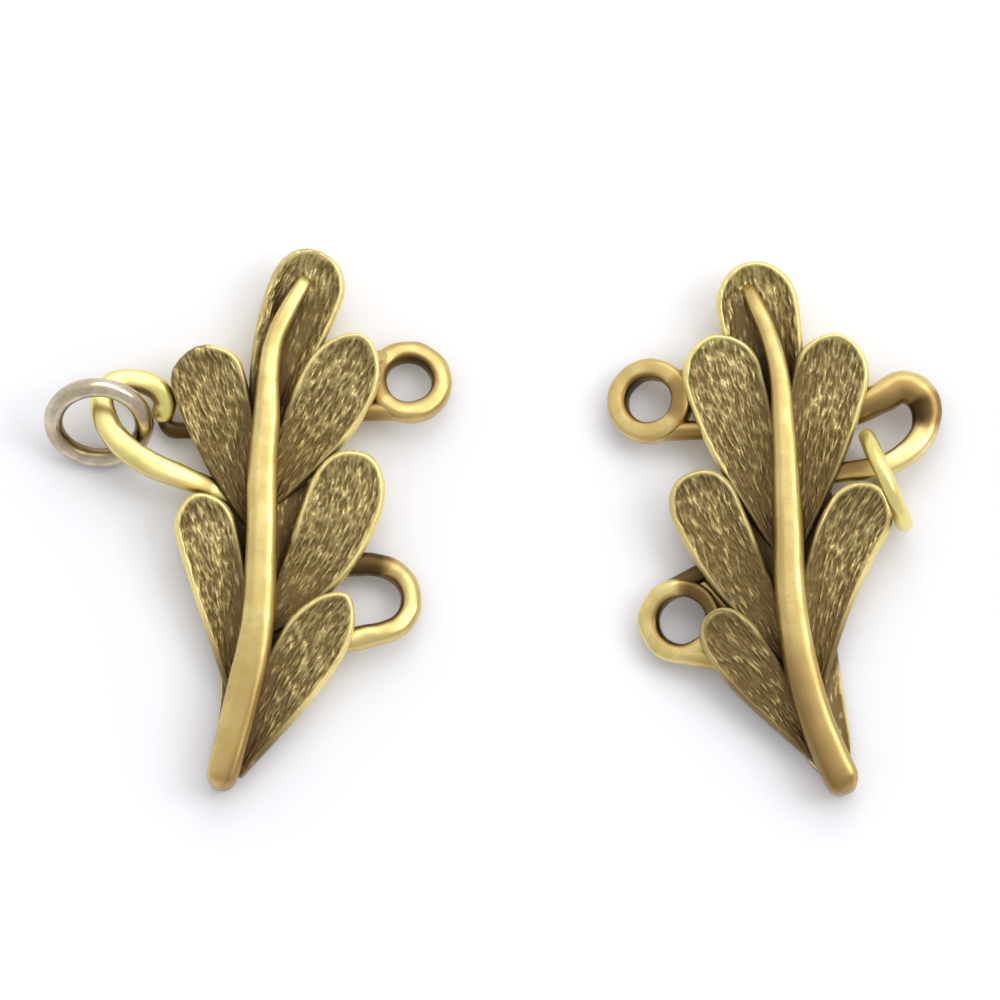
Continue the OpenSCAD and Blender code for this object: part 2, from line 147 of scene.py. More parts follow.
RIGHT_LOOP = [Wire(*row) for row in (
    (2.3, 4.42, 1.02, 1.1, 0.9), (3.1, 4.76, 1.3, 1.22, 1.04),
    (3.92, 5.17, 1.38, 1.3, 1.1), (4.8, 5.64, 1.36, 1.36, 1.14),
    (5.53, 5.33, 1.32, 1.38, 1.14), (5.83, 4.6, 1.32, 1.3, 1.08),
    (5.7, 3.72, 1.38, 1.1, 1.0), (5.12, 2.92, 1.52, 1.02, 0.92),
    (4.25, 2.33, 1.64, 0.92, 0.84), (3.31, 2.09, 1.64, 0.86, 0.8),
    (2.6, 2.04, 1.34, 0.86, 0.8), (1.8, 1.98, 1.0, 0.86, 0.76),
    (0.9, 1.9, 0.9, 0.86, 0.76),
)]
# the left leaf's lower eye is a wire bent to a U round the hole that takes a strand
LEFT_LOWER_EYE = [Wire(*row) for row in (
    (3.4, -1.92, 1.1, 0.96, 0.9), (4.1, -1.86, 1.0, 0.96, 0.92),
    (4.66, -1.86, 0.9, 0.96, 0.94), (5.22, -1.97, 0.84, 0.96, 0.96),
    (5.79, -2.33, 0.82, 0.92, 0.98), (6.13, -2.88, 0.85, 0.9, 1.0),
    (6.21, -3.48, 0.94, 0.88, 1.0), (6.06, -4.07, 1.06, 0.9, 1.0),
    (5.65, -4.55, 1.19, 0.92, 1.0), (5.06, -4.81, 1.31, 0.94, 1.0),
    (4.06, -5.03, 1.4, 1.0, 1.0), (3.2, -5.22, 1.46, 1.02, 1.0),
)]
# strand eyes: place of the hole, direction in which the eye slopes down, the power that rounds its wire (1
# for round, 0.4 for nearly square), its tarnish, the straight ends of its wire, and the middle and length of
# the part that lies thinner under the leaf, painted in shade. A straight end has its start, end and the
# darkness of its painted shade.
LEFT_EYES = [
    Eye(6.11, 5.88, 1.1, 75, 0.7, 0.28, (
        Leg((5.12, 6.86, 0.94), (4.3, 6.75, 1.45), 0.2),
        Leg((5.64, 4.62, 1.4), (4.05, 4.58, 1.42), 0.3),
    )),
]
RIGHT_EYES = [
    Eye(-5.76, 5.07, 1.1, 160, 0.5, 0.24, (
        Leg((-4.7, 5.96, 1.26), (-3.9, 6.0, 1.5), 0.5),
        Leg((-5.38, 3.76, 1.3), (-3.2, 3.82, 1.38), 0.35),
    )),
    Eye(-4.46, -4.27, 1.1, 205, 0.65, 0.06, (
        Leg((-5.2, -3.08, 1.0), (-3.6, -2.24, 1.22), 0.72),
        Leg((-4.82, -5.6, 0.92), (-2.8, -6.02, 1.38), 0.06),
        Leg((-3.75, -2.52, 0.9), (-2.4, -3.8, 0.95), 0.3),
    ), 24, 132),
]
# a leaf: its node and place, the direction from its eyes to its rib, and its tables. A rib has painted shade
# along its left and right sides, tarnish all over, and a flag for painted shade on the right of its stem.
LEFT = Leaf("left_leaf", (-9.612, 0.146, 0), 180, LEFT_LOBES, LEFT_RIB, RibOxide(0.36, 0.0, 0.14, True),
            LEFT_LOOP, LEFT_EYES)
RIGHT = Leaf("right_leaf", (12.388, 0.146, 0), 0, RIGHT_LOBES, RIGHT_RIB, RibOxide(0.24, 0.22, 0.26, False),
             RIGHT_LOOP, RIGHT_EYES)
# jump rings: radius to the middle of the wire, its thickness, the direction of the joint, place, lean, turn,
# and the painted shade on the inner side
JUMP_RINGS = [
    JumpRing("grey_ring_wire", "grey_jump_ring", "grey_plated_wire", "grey_ring",
             1.91, 0.8, 312, (-16.492, 4.176, 1.883), 50, -3, 0.36),
    JumpRing("gold_ring_wire", "gold_jump_ring", "bright_gold_wire", "gold_ring",
             1.98, 0.7, 250, (16.468, 1.636, 2.35), 94, -67, 0.3),
]

# lobes: thickness at the tip, height of the underside at the root, edges across and along the engraved face,
# and cuts that the face gets between two of them
LOBE_THICK = 1.1
UNDER_ROOT = 0.2
FACE_ACROSS = 20
FACE_ALONG = 46
FACE_CUTS = 3
# places measured along a lobe's middle line and along each of its sides, and points round its outline
MIDDLE_STEPS = 240
SIDE_STEPS = 200
OUTLINE_STEPS = 600
# a lobe whose tip lies further up than this is the one at the leaf's tip
TIP_FROM = 9
# how far apart in the noise the strokes of one lobe and the next lie
STROKE_SHIFT = 9.7
# rows put in between two stations of a rib or wire, and of a web
FINE = 6
WEB_FINE = 4
# steps over the rib's dome, and its wall below: share of the half width, share of the way down to the foot
DOME = 24
RIB_WALL = ((-0.96, 0.4), (-0.86, 0.85), (-0.7, 1.0), (0.7, 1.0), (0.86, 0.85), (0.96, 0.4))
# height of the web, half its section from below as shares of its reach and height, and the points of a whole
# section that lie on its edges
WEB_HIGH = 1.2
WEB_HALF = [(0.86, 0.02), (0.95, 0.08), (1.0, 0.35), (1.0, 0.68), (0.96, 0.8), (0.86, 0.78), (0.6, 0.84),
            (0.34, 1.0), (0.1, 1.3)]
WEB_EDGES = (3, 4, 13, 14)
# an eye's hole radius, wire width, wire height, slope, steps round, and the angle over which its part under
# the leaf, thinner and painted in shade, fades
EYE_HOLE = 0.95
EYE_WIRE = 0.86
EYE_HIGH = 0.95
EYE_SLOPE = radians(14)
EYE_STEPS = 72
EYE_FADE = 0.34
# points round a wire and round the straight end of an eye, whose half thickness follows, and the shares of a
# wire's half width at which its rounded nose has sections
WIRE_POINTS = 24
LEG_POINTS = 20
LEG_HALF = 0.41
NOSE = (0.3, 0.56, 0.78, 0.92, 0.99)
# seed and scale of the noise that makes metal uneven; the seed keeps it the same in each run
UNEVEN_SEED = 3
UNEVEN_SCALE = 1.4
# steps round a jump ring, and half the gap between the ends of its wire in degrees
RING_STEPS = 120
JOINT_HALF = 0.4
# edges sharper than these stay sharp
CREASE = radians(50)
WEB_CREASE = radians(40)
# the camera's height over the floor, distance, width of its view, width of its sensor in millimetres, and the
# point that it looks at, in metres
CAMERA_HEIGHT = radians(80)
CAMERA_AWAY = 0.7
VIEW_WIDTH = 0.042
SENSOR_WIDTH = 36
AIM = (0.000324, 0.001212)
# the floor's size and the distance of the lamps, in metres
FLOOR_SIZE = 1.2
LAMP_AWAY = 0.4


def linear(hex_colour):
    """Linear colour of an sRGB hex value."""
    parts = [int(hex_colour[i : i + 2], 16) / 255 for i in (1, 3, 5)]
    return tuple(c / 12.92 if c <= 0.04045 else ((c + 0.055) / 1.055) ** 2.4 for c in parts)


def swatch(name, description, hex_colour):
    colour = linear(hex_colour)
    return FloatVectorProperty(name=name, description=description, subtype="COLOR", default=colour)


def measure(name, description, default):
    return FloatProperty(name=name, description=description + ", in millimetres", default=default)


def strength(name, description, default, subtype="POWER"):
    return FloatProperty(name=name, description=description, default=default, subtype=subtype)


class ClaspSizes(bpy.types.PropertyGroup):
    rim_width: measure("Rim Width", "Width of the polished rim round a lobe", 0.26)
    rim_rise: measure("Rim Rise", "Height of the rim over the engraved face", 0.08)
    line_pitch: measure("Line Pitch", "Spacing of the engraved strokes", 0.19)
    line_length: measure("Line Length", "Length of the engraved strokes", 0.74)
    line_depth: measure("Line Depth", "Depth of the engraved strokes", 0.1)


class ClaspFinish(bpy.types.PropertyGroup):
    gold: swatch("Gold", "Bare polished gold", "#f4e39a")
    pale_gold: swatch("Pale Gold", "Gold of the bright wire", "#e9dc88")
    dull_gold: swatch("Dull Gold", "Gold under a thin tarnish", "#dcc680")
    ridge: swatch("Ridge", "Worn ridges of the engraving", "#c4b27a")
    # patina, crevice and tan also colour the painted shade on the wires, eyes and jump rings
    patina: swatch("Patina", "Oxidised recesses of the engraving", "#76613a")
    crevice: swatch("Crevice", "Dark oxide in the corners", "#483720")
    tan: swatch("Tan", "Tarnished gold of the stem and the wire's ends", "#ae9058")
    grey: swatch("Grey", "Plating of the grey ring", "#dbceb6")
    dull_grey: swatch("Dull Grey", "Worn plating of the grey ring", "#b6a78c")


class ClaspStage(bpy.types.PropertyGroup):
    floor: swatch("Floor", "Colour of the card under the clasp", "#f1f1f6")
    tent_light: strength("Tent Light", "Strength of the light tent", 0.88, "NONE")
    key_power: strength("Key Light", "Power of the light from behind", 0.4)
    side_power: strength("Side Light", "Power of the light from the right", 0.38)


# selecting and finishing pieces


def pick(piece):
    """Makes one piece the only selected one, and the active one."""
    for item in bpy.context.selected_objects:
        item.select_set(False)
    piece.select_set(True)
    bpy.context.view_layer.objects.active = piece


def named(name):
    piece = bpy.context.object
    piece.name = name
    piece.data.name = name
    return piece


def edit(piece, mode):
    pick(piece)
    bpy.ops.object.mode_set(mode="EDIT")
    bpy.ops.mesh.select_mode(type=mode)


def done():
    bpy.ops.object.mode_set(mode="OBJECT")


def face_outwards(piece):
    edit(piece, "FACE")
    bpy.ops.mesh.select_all(action="SELECT")
    bpy.ops.mesh.normals_make_consistent(inside=False)
    done()


def ease(low, high, value):
    """Rises smoothly from 0 where a value is low to 1 where it is high."""
    t = min(1.0, max(0.0, (value - low) / (high - low)))
    return t * t * (3 - 2 * t)


# lobes


def lobe_half(lobe, u):
    """Half width of a lobe at share u of its length."""
    if u > lobe.wide_at:
        return lobe.wide_half * max(0.0, 1 - ((u - lobe.wide_at) / (1 - lobe.wide_at)) ** 2) ** lobe.end
    return lobe.root_half + (lobe.wide_half - lobe.root_half) * sin(pi / 2 * u / lobe.wide_at)


def lobe_line(lobe, u):
    """Place on a lobe's middle line at share u of it, and the direction to the left there."""
    root, bend, tip = Vector(lobe.root), Vector(lobe.bend), Vector(lobe.tip)
    way = (bend - root) * (1 - u) + (tip - bend) * u
    middle = root * (1 - u) ** 2 + bend * (2 * u * (1 - u)) + tip * u * u
    return middle, Vector((-way.y, way.x)).normalized()


def evenly(points, count):
    """Points at even steps along a closed line of points."""
    ring, lengths = points + [points[0]], [0.0]
    for a, b in zip(ring, ring[1:]):
        lengths.append(lengths[-1] + (b - a).length)
    spread, k = [], 0
    for i in range(count):
        at = lengths[-1] * i / count
        while lengths[k + 1] < at:
            k += 1
        spread.append(ring[k].lerp(ring[k + 1], (at - lengths[k]) / (lengths[k + 1] - lengths[k])))
    return spread


def plan_tree(points):
    """A search tree of places in plan."""
    tree = KDTree(len(points))
    for k, (x, y) in enumerate(points):
        tree.insert((x, y, 0), k)
    tree.balance()
    return tree


def at_tip(lobe):
    return lobe.tip[1] > TIP_FROM


class Fan:
    """Coordinates across and along a lobe, in millimetres, that spread with it as its engraved lines do."""

    def __init__(self, lobe, rib):
        self.lobe = lobe
        self.leaning = lobe.tip[0] - lobe.root[0]
        # without the rib's thin end, which lies on the lobe at the tip
        self.rib = smooth_rows(rib[3:], FINE)
        self.axis = plan_tree([(row.x, row.y) for row in self.rib])
        self.points = [lobe_line(lobe, k / MIDDLE_STEPS)[0] for k in range(MIDDLE_STEPS + 1)]
        self.middle = plan_tree(self.points)
        self.outline = plan_tree(lobe_ring(lobe, OUTLINE_STEPS, 0))
        self.run = [0.0]
        for a, b in zip(self.points, self.points[1:]):
            self.run.append(self.run[-1] + (b - a).length)

    def share(self, x, y):
        """Share of the lobe's length at a place, and that place's distances across and along the lobe."""
        place = Vector((x, y, 0))
        k = min(MIDDLE_STEPS - 1, self.middle.find(place)[1])
        off = place.to_2d() - self.points[k]
        step = self.points[k + 1] - self.points[k]
        way = step.normalized()
        ahead = off.dot(way)
        u = min(1.0, max(0.0, (k + ahead / step.length) / MIDDLE_STEPS))
        return u, off.dot(Vector((way.y, -way.x))), self.run[k] + ahead

    def edge(self, x, y):
        """Distance from the lobe's outline."""
        return self.outline.find(Vector((x, y, 0)))[2]

    def from_rib(self, x, y):
        """Distance from the side of the rib, and how far a place is on the side to which the lobe leans."""
        _, k, away = self.axis.find(Vector((x, y, 0)))
        return max(0.0, away - self.rib[k].half), (x - self.rib[k].x) * copysign(1, self.leaning)

    def rim_left(self, u, across):
        """How much of the rim is left, from 0 to 1: it sinks at the root and in the valley beside the rib."""
        right = ease(0.1, 0.7, across)
        if at_tip(self.lobe):
            shown = 0.9 * ease(0.2, 0.45, u)
            return shown * (0.5 + 0.5 * right) if self.lobe.bare else shown
        inner = ease(-0.4, 0.4, -across * self.leaning)
        shown = ease(0.05, 0.3, u) * (1 - inner) + ease(0.36, 0.62, u) * inner
        return shown * right if self.lobe.bare else shown


def lobe_ring(lobe, count, inset):
    """Points round a lobe at even steps, inset from its outline, from the middle of the root up the left."""
    length = (Vector(lobe.tip) - Vector(lobe.root)).length
    left, right = [], []
    for i in range(SIDE_STEPS + 1):
        u = sin(pi / 2 * i / SIDE_STEPS)
        half = lobe_half(lobe, u)
        narrowing = inset * (half / lobe.wide_half if u > lobe.wide_at else 1)
        half = max(half - narrowing, 0.35 * half)
        middle, side = lobe_line(lobe, u * (1 - inset / length))
        left.append(middle + side * half)
        right.append(middle - side * half)
    return evenly([Vector(lobe.root)] + left + right[-2::-1], count)


def lobe_height(lobe, u, share):
    """Height at share u of a lobe's length and at a share of its thickness."""
    high = lobe.root_z + (lobe.tip_z - lobe.root_z) * u
    low = UNDER_ROOT + (lobe.tip_z - LOBE_THICK - UNDER_ROOT) * u
    return low + (high - low) * share


def rim_levels(rim, rise):
    """Insets and shares of a lobe's thickness, from the underside up its wall, over its rim, to its face."""
    wall = [(0.42, 0.0), (0.30, 0.02), (0.17, 0.12), (0.07, 0.27), (0.02, 0.45), (0.0, 0.64), (0.012, 0.80),
            (0.035, 0.90)]
    over = [(0.2, 0.965), (0.4, 1.0), (0.6, 1.0), (0.8, 1 - rise * 0.35), (1.0, 1 - rise)]
    return wall + [(0.04 + rim * share, height) for share, height in over]


def model_lobe(name, lobe, rib, number):
    """A lobe grown ring by ring from its underside over the rounded rim, then filled and engraved."""
    sizes = bpy.context.scene.clasp_sizes
    rise = sizes.rim_rise / LOBE_THICK
    count = 2 * (FACE_ACROSS + FACE_ALONG)
    fan = Fan(lobe, rib)
    rings = []
    for inset, share in rim_levels(sizes.rim_width, rise):
        ring = []
        for x, y in lobe_ring(lobe, count, inset):
            u, across, _ = fan.share(x, y)
            over = max(0.0, share - 1 + rise)
            ring.append((x, y, lobe_height(lobe, u, share - over + over * fan.rim_left(u, across))))
        rings.append(ring)
    piece = sweep(name, rings)
    face_from = len(rings) * count
    fill_ring(piece, face_from - count, count)
    bpy.ops.mesh.subdivide(number_cuts=FACE_CUTS)
    under_from = len(bmesh.from_edit_mesh(piece.data).verts)
    fill_ring(piece, 0, count)
    done()
    for i, vertex in enumerate(piece.data.vertices):
        x, y, _ = vertex.co
        u = fan.share(x, y)[0]
        if i >= under_from:
            vertex.co.z = lobe_height(lobe, u, 0)
        elif i >= face_from:
            beyond = ease(-0.2, 0.2, fan.from_rib(x, y)[1])
            dish = lobe.dish * (0.1 + 0.9 * beyond if at_tip(lobe) and lobe.bare else 1)
            vertex.co.z = lobe_height(lobe, u, 1 - rise) - dish * ease(0.2, 0.8, fan.edge(x, y))
    # a lobe with a bare edge has its top from one ring further out
    mark_lobe(piece, fan, number, (6 if lobe.bare else 7) * count, under_from)
    face_outwards(piece)
    bpy.ops.object.modifier_add(type="NODES")
    modifier = piece.modifiers[-1]
    modifier.node_group = engraving_group()
    bpy.ops.object.modifier_apply(modifier=modifier.name)
    bpy.ops.object.shade_smooth()
    return piece


def mark_lobe(piece, fan, number, top_from, under_from):
    """Stores what a lobe's engraving and finish are made from. Its top is between the two given points."""
    lobe, rim = fan.lobe, bpy.context.scene.clasp_sizes.rim_width
    places, engraved, face, tarnish = surface_marks(piece)
    for i, vertex in enumerate(piece.data.vertices):
        x, y, _ = vertex.co
        u, across, along = fan.share(x, y)
        edge = fan.edge(x, y)
        beside, leaning = fan.from_rib(x, y)
        spread = lobe_half(lobe, min(u, lobe.wide_at)) / lobe.wide_half
        places[i].vector = (across / spread ** 0.5, along, number * STROKE_SHIFT)
        # the lobe at the tip is a smooth dark hollow beside the rib, worn pale beyond the rib's end and where
        # its rim is bare
        hollow, pale, valley = 0.0, 0.0, 1.1
        if at_tip(lobe):
            rubbed = (0.9 if lobe.bare else 0.5) * (1 - ease(-0.2, 0.2, leaning))
            hollow = ease(0.35, 0.85, edge) * ease(0.86, 0.68, u) * (1 - rubbed)
            pale, valley = 0.55 * max(ease(0.78, 0.92, u), rubbed if lobe.bare else 0.0), 0.7
        if top_from <= i < under_from:
            inside = max(ease(rim * 0.5, rim + 0.1, edge), 1 - fan.rim_left(u, across))
            strokes = 0.35 + 0.65 * ease(0.1, 0.5, u) * ease(0.1, 0.9, beside)
            engraved[i].value = 0.25 * (1 - inside) + strokes * (1 - 0.8 * hollow) * inside
            face[i].value = inside
        low = 1 - ease(0.12, 0.7, u) * ease(-0.1, valley, beside)
        tarnish[i].value = min(1.0, max(low, 0.95 * hollow) + lobe.dark - pale)


def surface_marks(piece):
    """Adds the values stored on a cast leaf's points, which its engraving and finish are made from."""
    kinds = {"fan": "FLOAT_VECTOR", "engraved": "FLOAT", "face": "FLOAT", "tarnish": "FLOAT"}
    for name, kind in kinds.items():
        piece.data.attributes.new(name, kind, "POINT")
    return [piece.data.attributes[name].data for name in kinds]


# growing pieces ring by ring


def sweep(name, rings, uneven=0.0):
    """Starts a piece as a circle on the first ring of points and extrudes it on through the others.

    Hand-finished metal is uneven by some hundredths of a millimetre. The piece stays in edit mode."""
    count = len(rings[0])
    if uneven:
        noise.seed_set(UNEVEN_SEED)
        rings = [[point + noise.noise_vector(point * UNEVEN_SCALE) * uneven for point in ring]
                 for ring in rings]
    bpy.ops.mesh.primitive_circle_add(vertices=count, radius=1, fill_type="NOTHING")
    piece = named(name)
    for vertex, point in zip(piece.data.vertices, rings[0]):
        vertex.co = point
    edit(piece, "EDGE")
    bpy.ops.mesh.select_all(action="SELECT")
    for k, ring in enumerate(rings[1:], 1):
        bpy.ops.mesh.extrude_region_move()
        mesh = bmesh.from_edit_mesh(piece.data)
        mesh.verts.ensure_lookup_table()
        for j, point in enumerate(ring):
            mesh.verts[k * count + j].co = point
    bmesh.update_edit_mesh(piece.data)
    return piece


def select_rings(piece, firsts, count):
    """Selects the edges of the rings whose points start at the given places."""
    bpy.ops.mesh.select_all(action="DESELECT")
    mesh = bmesh.from_edit_mesh(piece.data)
    mesh.verts.ensure_lookup_table()
    for first in firsts:
        ring = set(mesh.verts[first : first + count])
        for vertex in ring:
            for line in vertex.link_edges:
                if line.other_vert(vertex) in ring:
                    line.select_set(True)
    return mesh


def fill_ring(piece, first, count):
    """Fills a lobe's ring with a grid whose short sides lie at the root and at the tip."""
    mesh = select_rings(piece, [first], count)
    mesh.select_history.clear()
    mesh.select_history.add(mesh.verts[first + count - FACE_ACROSS // 2])
    bmesh.update_edit_mesh(piece.data)
    bpy.ops.mesh.fill_grid(span=FACE_ACROSS)


def close_ends(piece, count):
    last = len(bmesh.from_edit_mesh(piece.data).verts) - count
    for first in (0, last):
        select_rings(piece, [first], count)
        bpy.ops.mesh.edge_face_add()
    done()
    face_outwards(piece)


def close_round(piece, count):
    last = len(bmesh.from_edit_mesh(piece.data).verts) - count
    select_rings(piece, [0, last], count)
    bpy.ops.mesh.bridge_edge_loops()
    done()
    face_outwards(piece)


# engraving


def add_node(tree, kind, values=None, **inputs):
    """Adds a node with its settings and inputs.

    An input is a socket to join or a value, and is named for its socket, with _ for a space, or i and its
    place."""
    node = tree.nodes.new(kind)
    for key, value in (values or {}).items():
        setattr(node, key, value)
    for key, value in inputs.items():
        by_place = key[0] == "i" and key[1:].isdigit()
        socket = node.inputs[int(key[1:])] if by_place else node.inputs[key.replace("_", " ")]
        if isinstance(value, bpy.types.NodeSocket):
            tree.links.new(value, socket)
        elif socket.type == "RGBA" and len(value) == 3:
            socket.default_value = (*value, 1)
        else:
            socket.default_value = value
    return node


def calculate(tree, operation, *values, kind="ShaderNodeMath"):
    inputs = {"i%d" % k: value for k, value in enumerate(values)}
    return add_node(tree, kind, {"operation": operation}, **inputs).outputs[0]


def ramp(tree, value, low, high, to_low=0.0, to_high=1.0, curve="LINEAR"):
    """Brings a value from one range to another, and keeps it there."""
    return add_node(tree, "ShaderNodeMapRange", {"interpolation_type": curve}, Value=value, From_Min=low,
                    From_Max=high, To_Min=to_low, To_Max=to_high).outputs[0]


def cloud(tree, vector, scale, detail, rough=0.5):
    return add_node(tree, "ShaderNodeTexNoise", Vector=vector, Scale=scale, Detail=detail,
                    Roughness=rough).outputs[0]


def cell_distance(tree, vector, scale):
    return add_node(tree, "ShaderNodeTexVoronoi", Vector=vector, Scale=scale).outputs["Distance"]


def engraving_height(tree, fan):
    """Height of the engraved face from 0 to 1: short broken strokes that run along the lobe."""
    sizes = bpy.context.scene.clasp_sizes
    spacing = (1 / sizes.line_pitch, 1 / sizes.line_length, 1)
    sway = add_node(tree, "ShaderNodeTexNoise", Vector=fan, Scale=0.8, Detail=1.0).outputs["Color"]
    swayed = calculate(tree, "MULTIPLY_ADD", sway, (0.25, 0.0, 0.0), fan, kind="ShaderNodeVectorMath")
    placed = calculate(tree, "MULTIPLY", swayed, spacing, kind="ShaderNodeVectorMath")
    wave = ramp(tree, cloud(tree, placed, 1.8, 1.5), 0.34, 0.64, 0.0, 0.45, "SMOOTHSTEP")
    grain = ramp(tree, cell_distance(tree, placed, 1.05), 0.1, 0.65, 0.55, 0.0, "SMOOTHSTEP")
    return calculate(tree, "ADD", wave, grain)


def engraving_group():
    """Geometry nodes that press the engraved strokes into a lobe's face along its normals."""
    if "Engraved strokes" in bpy.data.node_groups:
        return bpy.data.node_groups["Engraved strokes"]
    depth = bpy.context.scene.clasp_sizes.line_depth
    tree = bpy.data.node_groups.new("Engraved strokes", "GeometryNodeTree")
    for way in ("INPUT", "OUTPUT"):
        tree.interface.new_socket("Geometry", in_out=way, socket_type="NodeSocketGeometry")
    source = add_node(tree, "NodeGroupInput")
    fan, mask = (
        add_node(tree, "GeometryNodeInputNamedAttribute", {"data_type": kind}, Name=name).outputs[0]
        for name, kind in (("fan", "FLOAT_VECTOR"), ("engraved", "FLOAT"))
    )
    height = engraving_height(tree, fan)
    # the middle of the strokes' height, 0.6, stays at the level of the face
    deep = calculate(tree, "MULTIPLY_ADD", height, depth, -0.6 * depth)
    shift = add_node(tree, "ShaderNodeVectorMath", {"operation": "SCALE"}, Scale=calculate(
        tree, "MULTIPLY", deep, mask), i0=add_node(tree, "GeometryNodeInputNormal").outputs[0])
    moved = add_node(tree, "GeometryNodeSetPosition", Geometry=source.outputs[0], Offset=shift.outputs[0])
    add_node(tree, "NodeGroupOutput", Geometry=moved.outputs[0])
    return tree


# rib, web, wires and eyes


def curve_row(rows, k, f):
    """Row at share f between rows k and k + 1 of a table, on a smooth curve through all of them."""
    a, b, c, d = (rows[min(len(rows) - 1, max(0, j))] for j in (k - 1, k, k + 1, k + 2))
    return type(b)(*(
        0.5 * (2 * q + (r - p) * f + (2 * p - 5 * q + 4 * r - s) * f ** 2
               + (3 * q - p - 3 * r + s) * f ** 3)
        for p, q, r, s in zip(a, b, c, d)
    ))


def smooth_rows(rows, steps):
    between = [curve_row(rows, k, j / steps) for k in range(len(rows) - 1) for j in range(steps)]
    return between + [rows[-1]]


def travel(rows, k):
    """Direction in which a row of stations runs at station k."""
    a, b = rows[max(0, k - 1)], rows[min(len(rows) - 1, k + 1)]
    return Vector((b.x - a.x, b.y - a.y, getattr(b, "z", 0) - getattr(a, "z", 0))).normalized()


def stations(rows):
    """Each row of a rib's table with its place in plan and the direction to its right."""
    for k, row in enumerate(rows):
        way = travel(rows, k)
        yield row, Vector((row.x, row.y, 0)), Vector((way.y, -way.x, 0))


def tint(piece, value_at):
    """Stores how dark each point is, from 0 to 1, with oxide and with painted shade."""
    tarnish = piece.data.attributes.new("tarnish", "FLOAT", "POINT")
    for i, vertex in enumerate(piece.data.vertices):
        tarnish.data[i].value = min(1.0, max(0.0, value_at(i, vertex.co)))


def on_stem(y):
    """How much of a stem a rib is at a height up the leaf, from 0 to 1."""
    return ease(-3.5, -8.0, y)


def model_rib(name, rows, dark):
    """The rib: a bar with a soft flat crest, which grows flatter and duller towards the stem."""
    rings = []
    for row, place, side in stations(smooth_rows(rows, FINE)):
        flat = 0.68 - 0.12 * on_stem(row.y)
        ring = []
        for i in range(DOME + 1):
            a = pi * i / DOME
            across = copysign(abs(cos(a)) ** flat, cos(a))
            drop = 1 - sin(a) ** flat
            ring.append(place + side * across * row.half + UP * (row.crest - drop * row.half))
        wall = row.crest - row.half
        for share, down in RIB_WALL:
            ring.append(place + side * share * row.half + UP * (wall - (wall - row.foot) * down))
        rings.append(ring)
    piece = sweep(name, rings, 0.014)
    count = len(rings[0])
    close_ends(piece, count)

    def oxide(i, place):
        turn = i % count
        low = on_stem(place.y)
        # painted shade along the sides of the dome and on the walls below it
        side_shade = 0.4
        if turn <= DOME:
            side_shade = dark.left * ease(5, 1, turn) + (dark.right + 0.3 * low) * ease(16, 22, turn)
        # an even tarnish, duller on the stem, with painted shade on one side of the stem
        from_side = turn if dark.duller_right else DOME - turn
        stem = dark.dull + low * (0.12 + 0.24 * ease(8, 17, from_side))
        return max(side_shade, stem) + 0.12 * noise.noise(Vector((turn * 0.4, place.y * 0.3, 0)))

    tint(piece, oxide)
    return piece


def model_web(name, rows):
    """The web under the rib, flat at the back and hollow at the front, where it carries the lobes."""
    rings = []
    for row, place, side in stations(smooth_rows(rows[4:-3], WEB_FINE)):
        top = min(1.0, (row.crest - 0.35) / WEB_HIGH)
        rings.append([place + side * reach * share * turn + UP * (WEB_HIGH * up * top)
                      for reach, turn, half in ((row.left, 1, WEB_HALF), (row.right, -1, WEB_HALF[::-1]))
                      for share, up in half])
    piece = sweep(name, rings)
    count = len(rings[0])
    close_ends(piece, count)
    places, engraved, face, tarnish = surface_marks(piece)
    for i, vertex in enumerate(piece.data.vertices):
        # its edges are bare metal beside the stem
        bare = ease(-5.5, -6.5, vertex.co.y) * (i % count in WEB_EDGES)
        places[i].vector = (vertex.co.x, vertex.co.y, 3)
        engraved[i].value = 0.4
        face[i].value = 1 - bare
        tarnish[i].value = 1 - 0.7 * bare
    return piece


# a section of a wire: its middle, the directions to its side and top, and its half width and half height
Section = namedtuple("Section", "place side up wide high")


def nose(section, way):
    """Sections that close a wire's end to a rounded nose, onwards in the given direction."""
    sections = []
    for t in NOSE:
        size = sqrt(1 - t * t)
        sections.append(section._replace(place=section.place + way * t * section.wide,
                                         wide=section.wide * size, high=section.high * size))
    return sections


def wire_rings(sections, roundness, count=WIRE_POINTS):
    """Rings of points round a flattened wire, 1 in roundness for round and 0.4 for square."""
    turns = [tau * (i + 0.5) / count for i in range(count)]
    shape = [[copysign(abs(part) ** roundness, part) for part in (cos(a), sin(a))] for a in turns]
    return [[s.place + s.side * p * s.wide + s.up * q * s.high for p, q in shape] for s in sections]


def model_wire(name, centre_line, roundness, uneven, oxide, nosed=False):
    """Flattened wire bent along its centre line, with oxide and painted shade by place along it and by side.

    The function for both is asked for a share of the wire's length and for a side, 1 on the right and -1 on
    the left."""
    rows = smooth_rows(centre_line, FINE)
    sections = []
    for k, row in enumerate(rows):
        way = travel(rows, k)
        side = Vector((way.y, -way.x, 0)).normalized()
        sections.append(Section(Vector(row[:3]), side, side.cross(way), row.wide / 2, row.high / 2))
    if nosed:
        sections += nose(sections[-1], (sections[-1].place - sections[-2].place).normalized())
    piece = sweep(name, wire_rings(sections, roundness), uneven)
    close_ends(piece, WIRE_POINTS)

    def dark(i, _):
        along, turn = divmod(i, WIRE_POINTS)
        return oxide(min(1.0, along / len(rows)), cos(tau * (turn + 0.5) / WIRE_POINTS))

    tint(piece, dark)
    return piece


def left_loop_shade(along, right):
    """Painted shade on the inner side of its bend, and under its straight end."""
    bend = 0.7 * ease(0.2, 0.95, right) * ease(0.35, 0.5, along)
    return bend + 0.2 * ease(0.4, 0.95, -right) * ease(0.4, 0.2, along)


